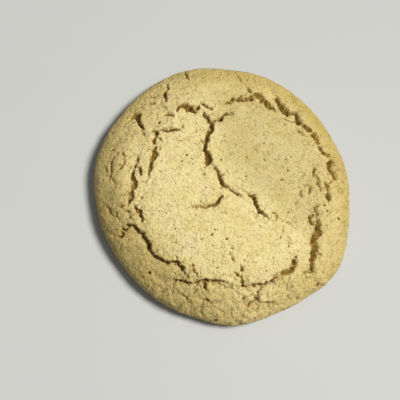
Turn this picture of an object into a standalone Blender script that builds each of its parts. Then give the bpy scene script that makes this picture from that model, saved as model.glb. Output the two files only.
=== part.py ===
"""A snickerdoodle: one round, puffy sugar cookie with a crust that has split as it rose.

The crust is laid out flat first, as a round sheet that reaches from the middle of the top
over the shoulder and down the side to the foot. A point of that sheet is (x, y) in
millimetres, counted along the crust from the middle of the top. The cracks are drawn on the
sheet, its mesh is made finer along them, and then every point is carried to its place on the
risen cookie. +Z is up, and the origin is the middle of the flat underside.
"""

from collections import namedtuple
import math

import bmesh
import bpy
import numpy as np

MM = 0.001

# The risen dough, in millimetres.
MEAN_RADIUS = 37.5
CENTRE_HEIGHT = 12.5
WAIST_HEIGHT = 3.6
FOOT_INSET = 2.2
DOME_POWER = 3.0

# Where the waist bulges beyond an even round: at the bearing, anticlockwise from +X, and fading
# out within the spread, both in degrees. The last one is the corner at the south-east.
Bulge = namedtuple("Bulge", "bearing spread rise")
WAIST_RADIUS = 37.15
WAIST_BULGES = (
    Bulge(64, 40, 0.8),
    Bulge(108, 24, 0.9),
    Bulge(171, 42, 0.75),
    Bulge(270, 20, 0.8),
    Bulge(324, 24, 1.6),
)

# Unevenness of the crust: swell of the whole top, and lumps that are stronger on the rim.
SWELL_SIZE = 17.0
SWELL_HEIGHT = 0.45
LUMP_SIZE = 6.5
LUMP_HEIGHT = 0.32
RIM_STARTS = 29.0

# The sheet's mesh: cells a side, then the halvings beside a crack, with how far each reaches.
SHEET_CELLS = 40
HALVING_REACH = (1.7, 0.55)

# A crack: how far its lips are worn back, the share of its width that is floor, its ragged
# wander, how far the lift of its lips carries, and how it tapers off at its ends.
WORN_LIP = 0.35
FLOOR_SHARE = 0.25
WANDER = 0.4
WANDER_SIZE = 1.7
LIP_REACH = 4.5
END_TAPER = 1.3
STEP_ALONG = 0.7

# place: where it is on the cookie, with north at +Y. width and depth: of the open split.
# lift: how much higher the crust stands to the left of the route than to its right.
# route: the ends of the crack on the flat sheet, and where it turns between them.
Crack = namedtuple("Crack", "place width depth lift route")
CRACKS = (
    Crack("north arch", 1.4, 1.8, 0.1, ((-15.2, 21.7), (-12.8, 22.9), (-9.6, 21.5))),
    Crack("north arch, east end", 1.0, 1.5, 0.1, ((-8.3, 23.0), (-4.9, 21.1))),
    Crack(
        "middle, upper", 1.2, 2.3, 0.1,
        ((-7.7, 20.1), (-5.7, 15.6), (-7.9, 10.2), (-7.4, 6.8), (-8.1, 4.2)),
    ),
    Crack("middle, side branch", 1.0, 1.8, 0.1, ((-5.7, 17.6), (0.8, 20.8))),
    Crack("middle, lower", 0.9, 1.8, 0.2, ((-6.1, 4.4), (-4.1, 0.4), (1.4, -3.9))),
    Crack("middle, east leg", 1.0, 1.8, 0.3, ((2.9, -2.9), (5.2, -6.0), (8.4, -9.9))),
    Crack("middle, curl", 0.9, 1.2, -0.1, ((-4.1, -3.8), (-6.3, -6.3), (-10.4, -6.6))),
    Crack("north-east ring, thin", 1.0, 1.6, 0.2, ((-1.3, 23.4), (2.6, 25.2), (7.0, 26.4))),
    Crack("north-east ring, first", 1.9, 2.2, 0.6, ((6.6, 26.4), (9.6, 27.0), (13.2, 22.8))),
    Crack("north-east ring, deep", 2.2, 2.8, 0.6, ((14.9, 26.0), (16.2, 23.2), (19.4, 19.8))),
    Crack("north-east ring, second", 1.6, 2.2, 0.5, ((19.5, 22.0), (24.8, 15.2))),
    Crack("east ring, upper", 1.3, 2.0, 0.4, ((25.0, 15.2), (27.1, 11.6), (30.2, 9.1))),
    Crack("east ring, middle", 1.6, 2.1, 0.3, ((31.1, 7.8), (29.5, 5.2), (31.1, 2.2))),
    Crack("east ring, lower", 1.2, 1.8, 0.2, ((27.6, 0.6), (28.2, -5.1))),
    Crack("south-east hook", 1.1, 1.6, 0.1, ((23.8, -6.4), (21.4, -9.9), (22.6, -11.6))),
    Crack("south-east ring", 2.1, 2.0, 0.2, ((23.4, -11.0), (21.3, -17.2), (20.9, -25.2))),
    Crack("south-east ring, tail", 1.0, 1.2, 0.0, ((17.5, -25.4), (21.0, -24.7))),
    Crack("south ring, east", 1.7, 1.9, -0.3, ((15.9, -21.2), (14.2, -24.9), (10.4, -26.3))),
    Crack("south ring, thin", 1.0, 1.6, -0.3, ((9.5, -27.2), (0.4, -28.4))),
    Crack("south notch", 1.1, 1.7, 0.1, ((-0.5, -22.8), (0.5, -28.2))),
    Crack("south ring, west", 1.0, 1.9, -0.4, ((-3.5, -27.3), (-13.9, -27.7), (-17.7, -26.5))),
    Crack("south pocket", 1.8, 1.3, 0.0, ((-10.7, -27.0), (-9.9, -29.4))),
    Crack(
        "south-west ring", 1.4, 2.5, -1.1,
        ((-15.6, -24.0), (-22.4, -20.9), (-25.6, -15.3), (-28.4, -12.1), (-31.9, -12.9)),
    ),
    Crack("west hook", 1.0, 1.2, -0.2, ((-31.6, -12.6), (-32.6, -14.4), (-36.0, -12.6))),
    Crack("west hollow", 1.2, 1.6, -0.2, ((-26.3, -10.1), (-28.1, -6.3))),
    Crack(
        "west ring", 1.6, 2.0, -0.2,
        ((-29.9, -6.0), (-28.9, -2.9), (-27.7, 1.4), (-26.1, 7.5)),
    ),
    Crack("west ring, inner", 1.2, 1.9, 0.0, ((-23.6, 2.2), (-21.9, 9.7))),
    Crack("north-west chip", 1.2, 1.6, 0.0, ((-21.9, 11.0), (-21.8, 15.1))),
    Crack("north-west bar", 1.2, 1.5, 0.0, ((-20.3, 15.5), (-15.6, 15.4))),
    Crack("north-west notch", 1.8, 2.2, 0.2, ((-28.1, 20.6), (-26.0, 19.2), (-24.9, 16.3))),
    Crack("north-west split", 1.1, 1.5, 0.1, ((-17.5, 30.7), (-18.3, 25.2))),
    Crack("north split", 1.0, 1.2, 0.1, ((-11.2, 36.2), (-10.7, 32.0))),
    Crack("north-east split", 1.0, 1.3, 0.2, ((4.1, 34.8), (7.3, 28.0))),
    Crack("south fold", 1.0, 1.1, -0.4, ((9.9, -33.0), (4.2, -32.2))),
)


def turned_profile():
    """(distance along the crust from the middle of the top, share of the waist radius, height).

    The top is a dome whose height falls as the square root of 1 - share ** DOME_POWER. Under
    the waist, a quarter of an ellipse turns in to the foot and ends flat on the table.
    """
    turn = np.linspace(0.0, math.pi / 2, 1500)
    top_radius = MEAN_RADIUS * np.sin(turn) ** (2 / DOME_POWER)
    top_height = WAIST_HEIGHT + (CENTRE_HEIGHT - WAIST_HEIGHT) * np.cos(turn)
    tuck = np.linspace(0.0, math.pi / 2, 400)[1:]
    radius = np.concatenate([top_radius, MEAN_RADIUS - FOOT_INSET * (1 - np.cos(tuck))])
    height = np.concatenate([top_height, WAIST_HEIGHT * (1 - np.sin(tuck))])
    steps = np.hypot(np.diff(radius), np.diff(height))
    return np.concatenate([[0.0], np.cumsum(steps)]), radius / MEAN_RADIUS, height


ALONG, SHARE, HEIGHT = turned_profile()
FOOT = ALONG[-1]


def smooth(share):
    """Eases a share from 0 to 1 with no slope at either end."""
    share = np.clip(share, 0.0, 1.0)
    return share * share * (3 - 2 * share)


def waist_radius(turn):
    """How far the waist reaches at that bearing, in radians: the even round and its bulges."""
    radius = np.full_like(turn, WAIST_RADIUS)
    for bulge in WAIST_BULGES:
        away = np.abs((np.degrees(turn) - bulge.bearing + 180) % 360 - 180)
        radius += bulge.rise * np.cos(math.pi / 2 * np.clip(away / bulge.spread, 0, 1)) ** 2
    return radius


def unevenness(x, y, size, seed):
    """Smooth random height from -1 to 1 with lumps of about that size: gradient noise."""
    cells = 64
    angle = np.random.default_rng(seed).uniform(0, 2 * math.pi, (cells, cells))
    column, row = np.floor(x / size), np.floor(y / size)
    across, up = x / size - column, y / size - row
    corners = []
    for i, j in ((0, 0), (1, 0), (0, 1), (1, 1)):
        slope = angle[(column.astype(int) + i) % cells, (row.astype(int) + j) % cells]
        corners.append(np.cos(slope) * (across - i) + np.sin(slope) * (up - j))
    near = corners[0] + smooth(across) * (corners[1] - corners[0])
    far = corners[2] + smooth(across) * (corners[3] - corners[2])
    return 1.5 * (near + smooth(up) * (far - near))


def crack_line(crack, seed):
    """(the crack's line as closely spaced points, smooth but for a ragged wander; its length)."""
    route = np.array(crack.route)
    length = np.hypot(*np.diff(route, axis=0).T).sum()
    place = np.linspace(0, len(route) - 1, max(4, round(length / STEP_ALONG)) + 1)
    leg = np.minimum(place.astype(int), len(route) - 2)
    part = (place - leg)[:, None]
    start, end = route[leg], route[leg + 1]
    slope = np.gradient(route, axis=0)
    ease = part * part * (3 - 2 * part)
    line = start + ease * (end - start)
    line += part * (1 - part) * ((1 - part) * slope[leg] - part * slope[leg + 1])
    for axis in (0, 1):
        line[:, axis] += WANDER * unevenness(line[:, 0], line[:, 1], WANDER_SIZE, seed + axis)
    return line, length


def beside(x, y, line):
    """(distance to the line, share of the way along it, +1 left of it and -1 right of it)."""
    start, step = line[:-1], np.diff(line, axis=0)
    from_start = np.stack([x, y], 1)[:, None, :] - start
    part = np.clip((from_start * step).sum(2) / (step**2).sum(1), 0, 1)
    offset = from_start - part[..., None] * step
    distance = np.hypot(offset[..., 0], offset[..., 1])
    nearest = distance.argmin(1)
    row = np.arange(len(x))
    side = step[nearest, 0] * offset[row, nearest, 1] - step[nearest, 1] * offset[row, nearest, 0]
    return distance[row, nearest], (nearest + part[row, nearest]) / len(step), np.sign(side)


def crack_relief(x, y):
    """(how deep the cracks open at each point, how much they lift it, distance to a crack's edge)."""
    depth, lift = np.zeros_like(x), np.zeros_like(x)
    clearance = np.full_like(x, FOOT)
    for number, crack in enumerate(CRACKS):
        line, length = crack_line(crack, 10 * number)
        distance, along, side = beside(x, y, line)
        taper = smooth(np.minimum(along, 1 - along) * length / END_TAPER)
        edge = WORN_LIP + 0.5 * crack.width * (0.45 + 0.55 * taper)
        opening = smooth((edge - distance) / (edge * (1 - FLOOR_SHARE)))
        depth = np.maximum(depth, crack.depth * (0.3 + 0.7 * taper) * opening)
        lift += 0.5 * side * crack.lift * taper * np.exp(-distance / LIP_REACH)
        clearance = np.minimum(clearance, distance - edge)
    return depth, lift, clearance


def flat_sheet():
    """The crust laid out flat: a square grid drawn out to a round sheet that ends at the foot."""
    sheet = bmesh.new()
    bmesh.ops.create_grid(sheet, x_segments=SHEET_CELLS, y_segments=SHEET_CELLS, size=1.0)
    for vert in sheet.verts:
        u, v = vert.co.x, vert.co.y
        ring = max(abs(u), abs(v))
        if ring == 0:
            continue
        turn = math.pi / 4 * (v / u if abs(u) >= abs(v) else 2 - u / v)
        if (u if abs(u) >= abs(v) else v) < 0:
            turn += math.pi
        vert.co.x, vert.co.y = FOOT * ring * math.cos(turn), FOOT * ring * math.sin(turn)
    return sheet


def refine_beside_cracks(sheet):
    """Halves the edges that lie by a crack, once for each reach, so that its walls come out sharp."""
    for reach in HALVING_REACH:
        edges = list(sheet.edges)
        middle = np.array([(edge.verts[0].co + edge.verts[1].co) / 2 for edge in edges])
        clearance = crack_relief(middle[:, 0], middle[:, 1])[2]
        close = [edge for edge, gap in zip(edges, clearance) if gap < reach and not edge.is_boundary]
        bmesh.ops.subdivide_edges(sheet, edges=close, cuts=1, use_grid_fill=True)
    bmesh.ops.triangulate(sheet, faces=sheet.faces[:])


def risen_points(x, y):
    """Where each point of the flat sheet ends up on the risen cookie."""
    along, turn = np.hypot(x, y), np.arctan2(y, x)
    radius = np.interp(along, ALONG, SHARE) * waist_radius(turn)
    height = np.interp(along, ALONG, HEIGHT)
    lean = np.arctan2(
        np.interp(along, ALONG, np.gradient(SHARE * MEAN_RADIUS)),
        -np.interp(along, ALONG, np.gradient(HEIGHT)),
    )
    depth, lift, _ = crack_relief(x, y)
    rim = smooth((along - RIM_STARTS) / 6)
    foot_free = smooth((FOOT - along) / 5)
    relief = SWELL_HEIGHT * unevenness(x, y, SWELL_SIZE, 501)
    relief += LUMP_HEIGHT * (0.5 + rim) * unevenness(x, y, LUMP_SIZE, 502)
    relief = (relief + lift - depth) * foot_free
    radius = radius + relief * np.cos(lean)
    height = np.maximum(height + relief * np.sin(lean), 0)
    return np.stack([radius * np.cos(turn), radius * np.sin(turn), height], 1)


def dough_material():
    """Baked sugar dough: pale, dry and matt."""
    material = bpy.data.materials.new("baked_sugar_dough")
    material.use_nodes = True
    shader = material.node_tree.nodes["Principled BSDF"]
    shader.inputs["Base Color"].default_value = (0.66, 0.51, 0.23, 1.0)
    shader.inputs["Roughness"].default_value = 0.85
    shader.inputs["Metallic"].default_value = 0.0
    return material


def make_cookie(collection):
    """The whole cookie, closed by one flat face on its foot."""
    sheet = flat_sheet()
    refine_beside_cracks(sheet)
    flat = np.array([vert.co for vert in sheet.verts])
    for vert, place in zip(sheet.verts, risen_points(flat[:, 0], flat[:, 1])):
        vert.co = place * MM
    foot_ring = [edge for edge in sheet.edges if edge.is_boundary]
    bmesh.ops.contextual_create(sheet, geom=foot_ring)
    bmesh.ops.recalc_face_normals(sheet, faces=sheet.faces[:])
    mesh = bpy.data.meshes.new("cookie")
    sheet.to_mesh(mesh)
    sheet.free()
    mesh.shade_smooth()
    mesh.materials.append(dough_material())
    cookie = bpy.data.objects.new("cookie", mesh)
    collection.objects.link(cookie)
    return cookie


def main():
    for leftover in list(bpy.data.objects):
        bpy.data.objects.remove(leftover)
    collection = bpy.data.collections.new("snickerdoodle")
    bpy.context.scene.collection.children.link(collection)
    make_cookie(collection)


main()
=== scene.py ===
"""The looks of a snickerdoodle: a round sugar cookie whose dusted crust has split as it rose.

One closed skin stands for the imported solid. It is worked out on the flat sheet of the crust:
a point of the sheet is (x, y) in millimetres, counted along the crust from the middle of the
top, over the shoulder and down the side to the foot. The cracks, lumps and patches are laid
out there, and the sheet is then carried up onto the risen cookie.
"""

from collections import namedtuple
import math

import bpy
import numpy as np
from mathutils import Matrix, Vector


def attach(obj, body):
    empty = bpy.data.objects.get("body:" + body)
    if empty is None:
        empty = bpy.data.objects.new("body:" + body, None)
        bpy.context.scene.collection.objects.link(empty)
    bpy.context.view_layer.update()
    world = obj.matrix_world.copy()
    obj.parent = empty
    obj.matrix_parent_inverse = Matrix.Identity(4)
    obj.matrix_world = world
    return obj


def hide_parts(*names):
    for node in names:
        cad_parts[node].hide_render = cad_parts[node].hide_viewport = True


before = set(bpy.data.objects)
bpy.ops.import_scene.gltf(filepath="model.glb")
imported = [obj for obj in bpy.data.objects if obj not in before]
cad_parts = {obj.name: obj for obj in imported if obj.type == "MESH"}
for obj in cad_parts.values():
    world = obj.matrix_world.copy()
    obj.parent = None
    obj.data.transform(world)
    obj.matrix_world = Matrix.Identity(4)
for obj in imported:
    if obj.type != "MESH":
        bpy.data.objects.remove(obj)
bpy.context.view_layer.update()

MM = 0.001

# The risen dough, in millimetres: the same named sizes as the solid has.
MEAN_RADIUS = 37.5
CENTRE_HEIGHT = 12.5
WAIST_HEIGHT = 3.6
FOOT_INSET = 2.2
DOME_POWER = 3.0
WAIST_RADIUS = 37.15
Bulge = namedtuple("Bulge", "bearing spread rise")
WAIST_BULGES = (
    Bulge(64, 40, 0.8),
    Bulge(108, 24, 0.9),
    Bulge(171, 42, 0.75),
    Bulge(270, 20, 0.8),
    Bulge(324, 24, 1.6),
)

# The skin's mesh: cells across the crust, how far its rings spread towards the foot, and the
# rings of the underside, which lies that far off the table.
CRUST_CELLS = 296
RINGS_SPREAD = 0.14
UNDERSIDE_RINGS = 7
UNDERSIDE_LIFT = 0.15

# Unevenness: the height and the size of its lumps in millimetres, and its seed. The swell takes
# in the whole top, and lumps, knobs and grain are stronger on the rim.
Pattern = namedtuple("Pattern", "height size seed")
SWELL = Pattern(0.45, 17.0, 501)
LUMPS = Pattern(0.32, 6.5, 502)
KNOBS = Pattern(0.08, 2.6, 503)
CRUMBS = Pattern(0.15, 1.3, 520)
GRAIN = Pattern(0.045, 0.9, 524)
RIM_GRAIN = 0.03
UNDERSIDE_WAVES = Pattern(0.1, 6.0, 601)

# The rim: where it starts, its radius for patterns that run round it, and the puffed roll along
# its west side. Relief on the plates is cut off at CREST.
RIM_STARTS = 29.0
RIM_RADIUS = 33.0
ROLL_MIDDLE = 31.5
ROLL_WIDTH = 2.6
ROLL_HEIGHT = 0.5
CREST = 0.55

# Wrinkles round the west and crevices of the south: depth, how far apart and how long they are.
# Crevices elsewhere on the rim are RIM_CREVICES deep.
Creases = namedtuple("Creases", "depth narrow long seed")
WRINKLES = Creases(0.32, 1.9, 9.0, 504)
CREVICES = Creases(0.26, 1.5, 4.0, 510)
RIM_CREVICES = 0.14

# Flakes of crust: their size, how far their heights differ, how far their edges are rounded, and
# how wide the gap beside an edge is.
Flakes = namedtuple("Flakes", "size step seed")
BROAD_FLAKES = Flakes(4.4, 0.36, 556)
FLAKES = Flakes(2.4, 0.16, 550)
CHIPS = Flakes(1.4, 0.08, 551)
FLAKE_EDGE = 0.15
FLAKE_GAP = 0.24

# How far and how finely an outline is shaken, with a seed for across and one for up.
Shake = namedtuple("Shake", "height size seeds")
CRACK_SHAKE = Shake(0.19, 1.1, (62, 65))
PIT_SHAKE = Shake(0.25, 1.0, (74, 77))
FLAKE_SHAKE = Shake(0.35, 1.2, (516, 540))

# A crack's line: how far and how finely it wanders off its route, and how close its points are.
WANDER = 0.22
WANDER_SIZE = 1.3
STEP_ALONG = 0.45

# A crack's edge: how it crumbles and pinches in, how wide its wall is, how far beyond it crumbs
# reach, and how far the edge of the lower side is rolled down.
CRUMBLE = Pattern(0.28, 0.8, 61)
PINCH = Pattern(0.4, 1.7, 10079)
PINCHED_MIDDLE = 0.94
WALL = 0.12
WALL_PER_WIDTH = 0.08
EDGE_REACH = 0.9
EDGE_ENDS = 3.5
ROLLED_EDGE = 0.45

# Inside a crack: the crumb that fills it, its rough floor, and the patches in which narrow ones
# open. A narrow crack is less than NARROW wide, and a wide one begins at WIDE.
FILL = Pattern(0.75, 1.5, 3268)
CRACK_FLOOR = Pattern(0.45, 0.9, 528)
PATCHES = Pattern(1.2, 1.1, 6443)
MOSTLY_OPEN = 0.85
HALF_OPEN = 0.5
NARROW = 0.75
WIDE = 1.2

# How far the lift of a crack's lips carries, where it ends, and how long it fades before that.
LIP_REACH = 4.5
LIP_ENDS = 14.0
LIP_FADE = 8.0

# Hairline splits that spring from the deep cracks, loose ones along the rim and on the plates.
BRANCHED_DEPTH = 1.2
BRANCH_SPACING = 1.7
BRANCH_SHARE = 0.6
RIM_HAIRLINES = 170
PLATE_HAIRLINES = 110

# depth: of the split. route: the points of the sheet that it passes through, each with its width
# there. lift: how much higher the crust stands left of the route than right.
Crack = namedtuple("Crack", "depth route lift", defaults=(0.0,))
CRACKS = (
    # North arch, with its spur and east end.
    Crack(1.9, (
        (-15.3, 21.6, 0.6), (-14.3, 22.6, 1.1), (-13.0, 22.8, 1.6), (-11.5, 22.2, 2.2), (-10.2, 21.5, 1.6),
        (-8.8, 22.2, 0.9)), 0.1),
    Crack(0.9, ((-15.2, 24.0, 0.3), (-14.5, 23.3, 0.5), (-13.9, 22.7, 0.4))),
    Crack(1.5, ((-8.0, 23.5, 0.5), (-6.8, 22.7, 0.9), (-5.8, 21.9, 0.9), (-4.8, 21.3, 0.5)), 0.1),
    Crack(1.0, ((-9.0, 21.6, 0.3), (-7.6, 20.8, 0.4), (-7.2, 19.8, 0.6))),
    # The long split through the middle, from north to the south-east.
    Crack(1.9, (
        (-7.5, 20.0, 0.9), (-6.8, 18.8, 1.2), (-6.3, 17.8, 1.3), (-5.7, 16.4, 1.5), (-5.9, 15.0, 1.6),
        (-6.7, 14.2, 1.6), (-7.0, 13.0, 1.4), (-7.6, 12.0, 1.1), (-7.9, 10.5, 1.0), (-8.2, 9.2, 1.1),
        (-7.6, 8.0, 1.4), (-7.3, 6.5, 1.9), (-7.8, 5.3, 1.6), (-8.2, 4.4, 0.8)), 0.25),
    Crack(1.0, ((-9.4, 12.5, 0.4), (-8.7, 11.8, 0.6), (-7.9, 10.8, 0.5))),
    Crack(0.8, ((-8.6, 9.2, 0.3), (-6.4, 9.1, 0.3))),
    Crack(1.8, (
        (-5.6, 17.6, 0.7), (-4.4, 18.0, 0.9), (-2.9, 18.3, 0.9), (-2.2, 19.5, 0.8), (-1.5, 20.2, 0.8),
        (0.0, 20.4, 0.7), (0.9, 20.9, 0.3)), 0.1),
    Crack(2.0, (
        (-6.0, 4.3, 0.4), (-5.0, 2.9, 0.6), (-4.5, 1.9, 0.6), (-4.1, 0.8, 0.8), (-3.7, -0.5, 0.6),
        (-2.8, -1.1, 0.6), (-2.2, -1.6, 0.4), (-1.2, -2.4, 0.4), (0.0, -3.0, 0.6),
        (1.1, -3.9, 0.4)), 0.35),
    Crack(3.0, (
        (2.9, -3.0, 0.4), (4.2, -3.9, 0.6), (5.0, -4.8, 0.7), (5.2, -6.2, 0.7), (5.9, -7.3, 0.6),
        (6.5, -8.3, 0.6), (7.2, -9.0, 0.5), (8.4, -9.8, 0.4)), 0.4),
    Crack(1.2, ((9.4, -8.2, 0.4), (10.6, -8.5, 0.7), (10.8, -9.3, 0.7), (10.6, -10.5, 0.5))),
    Crack(0.8, ((-3.8, -0.9, 0.5), (-4.0, -2.6, 0.3))),
    Crack(1.9, (
        (-4.1, -3.9, 0.6), (-5.0, -4.8, 0.7), (-5.6, -5.8, 0.7), (-6.4, -6.3, 0.7), (-7.8, -6.6, 0.6),
        (-9.0, -7.0, 0.5), (-11.0, -6.5, 0.45), (-13.8, -7.2, 0.35)), -0.15),
    # North-east ring, with the widest splits of the rim.
    Crack(1.8, (
        (-0.6, 23.9, 0.6), (0.3, 24.6, 1.0), (1.3, 25.3, 1.1), (2.7, 25.6, 1.2), (5.0, 25.3, 1.1),
        (6.3, 25.8, 1.0), (7.4, 26.3, 1.1)), 0.3),
    Crack(0.9, ((2.5, 25.6, 0.5), (2.8, 26.8, 0.3))),
    Crack(1.2, (
        (7.0, 26.2, 1.0), (8.3, 27.3, 1.5), (9.5, 27.0, 1.8), (10.5, 25.8, 1.8), (11.5, 24.7, 1.9),
        (12.5, 23.7, 1.6), (13.5, 22.8, 0.8)), 0.5),
    Crack(0.8, (
        (3.9, 35.2, 0.3), (4.3, 33.5, 0.5), (5.2, 31.8, 0.4), (5.8, 30.5, 0.5), (6.8, 28.8, 0.7),
        (7.3, 27.6, 0.8)), 0.2),
    Crack(2.4, (
        (14.9, 26.4, 0.9), (15.6, 24.8, 1.8), (16.0, 23.5, 2.0), (17.0, 22.3, 1.8),
        (17.8, 21.6, 1.2)), 0.5),
    Crack(0.9, ((16.6, 20.6, 0.5), (17.3, 19.5, 0.6), (18.8, 19.1, 0.6), (20.4, 19.5, 0.5))),
    Crack(2.3, ((18.9, 21.9, 0.7), (20.0, 21.6, 1.1), (20.8, 20.5, 1.3), (21.1, 18.8, 1.1)), 0.5),
    Crack(0.9, ((19.9, 17.8, 0.4), (21.0, 16.2, 0.6), (22.2, 15.2, 0.6), (23.4, 14.9, 0.5))),
    Crack(1.3, ((21.6, 19.0, 0.9), (23.3, 17.5, 1.7), (24.4, 16.4, 1.7), (25.6, 15.6, 1.3)), 0.5),
    # East ring.
    Crack(1.3, (
        (25.0, 15.2, 1.0), (26.3, 14.4, 1.7), (26.6, 13.2, 1.6), (27.0, 12.0, 1.2), (27.5, 11.0, 1.1),
        (28.0, 10.2, 0.9), (29.0, 9.6, 0.8), (30.2, 9.1, 0.6)), 0.4),
    Crack(2.1, (
        (31.1, 8.0, 0.9), (30.2, 6.7, 1.5), (29.4, 5.8, 1.5), (29.3, 5.0, 1.4), (30.2, 4.2, 1.6),
        (31.0, 3.2, 1.5), (31.3, 1.9, 0.9)), 0.3),
    Crack(0.7, ((30.4, 1.5, 0.7), (28.7, 0.6, 0.7))),
    Crack(1.4, (
        (27.6, 0.6, 0.6), (28.0, -1.2, 1.1), (28.0, -2.6, 1.3), (28.3, -4.0, 1.1),
        (28.5, -5.0, 0.6)), 0.2),
    Crack(1.2, ((24.8, 5.2, 0.4), (24.2, 4.4, 0.7), (23.7, 3.2, 0.7), (24.1, 1.9, 0.5)), 0.1),
    Crack(1.2, (
        (24.3, 2.4, 0.5), (25.3, 1.5, 0.8), (24.6, 0.5, 0.8), (25.3, -0.5, 0.8), (25.5, -2.0, 0.5)), 0.1),
    Crack(1.1, ((22.4, -0.6, 0.5), (22.0, -1.6, 0.8), (21.7, -3.2, 0.5)), 0.1),
    Crack(0.9, ((19.3, -2.0, 0.4), (19.0, -3.0, 0.6), (19.3, -4.0, 0.4))),
    Crack(0.9, ((17.6, -4.5, 0.4), (17.1, -6.2, 0.5))),
    Crack(0.5, ((18.7, -6.8, 0.3), (17.3, -7.5, 0.3))),
    # South-east ring.
    Crack(1.2, ((24.0, -6.2, 0.5), (23.1, -7.6, 0.7), (23.6, -8.8, 0.6)), 0.1),
    Crack(1.4, ((22.6, -8.9, 0.5), (21.0, -9.7, 0.8), (20.9, -11.0, 0.8), (22.2, -11.6, 0.8)), 0.1),
    Crack(1.6, (
        (23.4, -10.6, 0.8), (23.0, -11.8, 2.0), (22.8, -13.0, 2.4), (22.0, -14.3, 2.3), (21.2, -15.3, 2.0),
        (21.0, -16.5, 2.1), (21.6, -17.6, 2.2), (21.2, -19.0, 1.9), (20.8, -20.6, 1.6), (20.5, -22.5, 1.2),
        (20.8, -24.0, 1.2), (21.0, -25.1, 0.8)), 0.25),
    Crack(1.0, ((21.6, -18.5, 0.9), (23.3, -19.6, 0.6))),
    Crack(1.0, ((17.8, -25.6, 0.3), (19.5, -24.9, 0.6), (21.5, -25.3, 0.5))),
    Crack(0.5, ((18.1, -20.2, 0.3), (18.6, -22.3, 0.3))),
    Crack(1.5, (
        (16.0, -20.8, 0.8), (15.5, -22.5, 1.6), (15.2, -23.5, 1.6), (14.5, -24.8, 1.5), (13.5, -25.5, 1.3),
        (12.2, -25.2, 1.1), (11.0, -26.0, 1.2), (9.6, -27.0, 0.9)), 0.1),
    Crack(1.7, ((9.6, -27.3, 0.6), (8.8, -27.6, 1.1), (7.2, -27.9, 0.9), (6.2, -28.3, 0.5)), -0.3),
    # South ring.
    Crack(1.6, (
        (7.0, -28.1, 0.6), (5.8, -28.3, 0.7), (5.0, -28.0, 0.8), (3.0, -28.1, 0.9), (1.2, -28.4, 0.9),
        (0.1, -28.2, 0.6)), -0.35),
    Crack(1.1, ((-1.9, -24.7, 0.5), (-0.8, -25.3, 0.9), (0.2, -26.8, 1.0), (0.4, -28.0, 0.7)), 0.1),
    Crack(1.0, ((0.0, -22.6, 0.6), (0.1, -23.6, 0.9), (0.2, -24.4, 0.5))),
    Crack(1.5, (
        (-4.0, -27.3, 0.4), (-5.5, -27.0, 0.6), (-7.5, -27.2, 0.7), (-9.0, -27.0, 0.8),
        (-10.2, -26.8, 0.9), (-12.2, -27.5, 0.8), (-13.5, -27.8, 0.8), (-14.8, -27.5, 0.8),
        (-16.0, -27.0, 0.7), (-17.7, -26.6, 0.5)), -0.4),
    Crack(1.3, ((-10.3, -26.8, 1.4), (-10.2, -27.8, 1.5), (-10.0, -28.8, 1.0))),
    Crack(0.7, ((-9.9, -29.2, 0.5), (-9.1, -30.2, 0.4))),
    # South-west ring: the plates of the middle stand as a cliff over the rim.
    Crack(1.4, (
        (-31.6, -12.2, 0.8), (-30.9, -12.1, 1.0), (-30.3, -11.1, 1.0), (-29.3, -11.2, 1.0),
        (-28.0, -12.2, 1.2), (-27.2, -13.0, 1.4), (-26.2, -14.5, 1.3), (-25.3, -16.0, 1.2),
        (-24.8, -17.8, 1.1), (-23.9, -19.3, 1.0), (-23.0, -20.3, 1.0), (-22.0, -20.8, 0.9),
        (-21.0, -21.5, 0.8), (-20.0, -21.9, 0.7), (-18.5, -21.8, 0.7), (-17.5, -21.9, 0.8),
        (-16.6, -22.8, 0.9), (-15.9, -23.8, 1.0)), 0.7),
    Crack(1.1, ((-13.6, -22.4, 0.6), (-13.1, -23.8, 0.9), (-12.4, -25.0, 0.6), (-11.8, -26.0, 0.3))),
    Crack(1.3, ((-32.3, -12.6, 0.6), (-31.7, -13.8, 0.8), (-32.3, -14.4, 0.9), (-33.4, -14.1, 0.6))),
    Crack(0.7, ((-36.2, -12.5, 0.3), (-34.8, -13.7, 0.5), (-33.2, -14.2, 0.5)), -0.1),
    # West ring, its hollow and the inner splits.
    Crack(1.4, (
        (-28.1, -6.2, 0.7), (-27.8, -7.2, 1.5), (-27.2, -8.0, 1.9), (-26.7, -9.0, 1.6),
        (-26.3, -10.2, 0.8)), 0.3),
    Crack(0.9, ((-29.9, -7.2, 0.6), (-29.4, -8.3, 1.1), (-29.2, -9.6, 0.7))),
    Crack(0.7, ((-25.6, -9.9, 0.4), (-24.7, -11.5, 0.4))),
    Crack(1.2, ((-26.1, 7.6, 0.4), (-26.6, 5.8, 0.7), (-27.1, 4.8, 0.6), (-27.6, 3.6, 0.4)), 0.2),
    Crack(1.1, (
        (-27.8, 2.9, 1.0), (-27.9, 1.8, 1.7), (-27.8, 0.6, 1.5), (-28.0, -0.6, 2.1), (-28.5, -1.8, 1.8),
        (-28.9, -2.8, 1.6), (-29.2, -4.3, 1.6), (-29.5, -5.6, 0.8)), 0.3),
    Crack(1.0, ((-26.3, 4.7, 0.7), (-25.7, 2.8, 0.8))),
    Crack(1.1, (
        (-21.5, 10.2, 0.7), (-22.1, 9.0, 1.7), (-22.4, 7.0, 1.8), (-22.6, 6.0, 1.5), (-23.0, 4.3, 1.1),
        (-23.8, 2.2, 0.5)), 0.2),
    Crack(0.8, ((-23.8, 1.6, 0.4), (-24.4, 0.6, 0.45), (-25.7, 0.2, 0.35))),
    Crack(0.8, ((-25.6, -2.8, 0.4), (-24.6, -2.6, 0.35), (-23.7, -2.4, 0.5))),
    Crack(0.9, ((-20.3, 10.8, 0.4), (-20.7, 9.2, 0.5))),
    Crack(1.5, ((-22.3, 14.9, 0.5), (-21.6, 15.3, 1.0), (-21.0, 14.2, 0.7))),
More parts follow.
